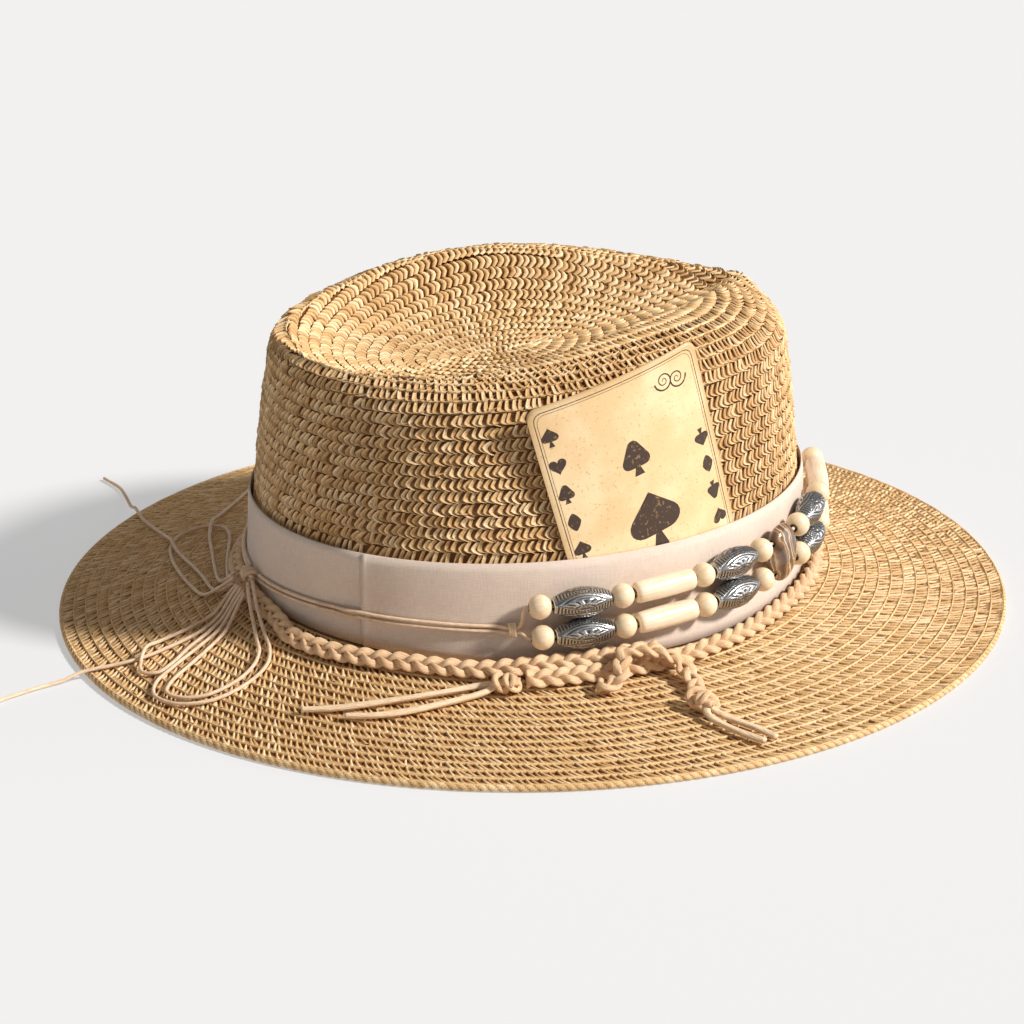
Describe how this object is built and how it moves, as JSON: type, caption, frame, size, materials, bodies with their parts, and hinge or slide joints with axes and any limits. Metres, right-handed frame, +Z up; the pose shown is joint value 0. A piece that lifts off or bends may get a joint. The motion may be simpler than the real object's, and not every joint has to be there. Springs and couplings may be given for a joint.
{
  "type": "straw hat",
  "caption": "Sewn straw hat with a teardrop crown, ribbon band, beaded string tied in a bow, braided cord and a card tucked into the band.",
  "frame": {"origin": "on the surface that the hat rests on, under the middle of the brim", "axes": "+X to the front of the hat, +Y to the wearer's left, +Z up"},
  "size_m": [0.3743, 0.3328, 0.1149],
  "materials": {
    "straw": "woven paper straw, matt",
    "ribbon": "plain linen weave",
    "card": "aged, slightly glossy",
    "braid": "matt suede-like cord",
    "tail": "matt cord",
    "pale_wood": "polished bead",
    "bone": "polished bone",
    "antique_metal": "antique silver",
    "agate": "polished",
    "string": "waxed string"
  },
  "bodies": {
    "root": {"straw_crown": "straw", "straw_crown_top": "straw", "straw_brim": "straw", "ribbon_band": "ribbon", "playing_card": "card", "braid_cord": "braid", "braid_end": "braid", "braid_knot_left": "braid", "braid_knot_right": "braid", "tail_left_long": "tail", "tail_left_short": "tail", "tail_right_long": "tail", "tail_right_short": "tail", "bead_round_upper_back_1": "pale_wood", "bead_metal_upper_back_2": "antique_metal", "bead_round_upper_back_3": "pale_wood", "bead_tube_upper_back_4": "bone", "bead_round_upper_back_5": "pale_wood", "bead_metal_upper_back_6": "antique_metal", "bead_round_upper_back_7": "pale_wood", "bead_round_upper_front_1": "pale_wood", "bead_metal_upper_front_2": "antique_metal", "bead_round_upper_front_3": "pale_wood", "bead_tube_upper_front_4": "bone", "bead_round_upper_front_5": "pale_wood", "bead_round_lower_back_1": "pale_wood", "bead_metal_lower_back_2": "antique_metal", "bead_round_lower_back_3": "pale_wood", "bead_tube_lower_back_4": "bone", "bead_round_lower_back_5": "pale_wood", "bead_metal_lower_back_6": "antique_metal", "bead_round_lower_back_7": "pale_wood", "bead_round_lower_front_1": "pale_wood", "bead_metal_lower_front_2": "antique_metal", "bead_round_lower_front_3": "pale_wood", "bead_tube_lower_front_4": "bone", "bead_round_lower_front_5": "pale_wood", "agate_stone": "agate", "strand_upper": "string", "strand_lower": "string", "strand_wrap_back": "string", "strand_wrap_front": "string", "bow_knot": "string", "string_end_low": "string", "string_end_high": "string", "string_end_back": "string", "bow_loop_high": "string", "bow_loop_slim": "string", "bow_loop_outer": "string", "bow_loop_inner": "string"}
  },
  "joints": []
}
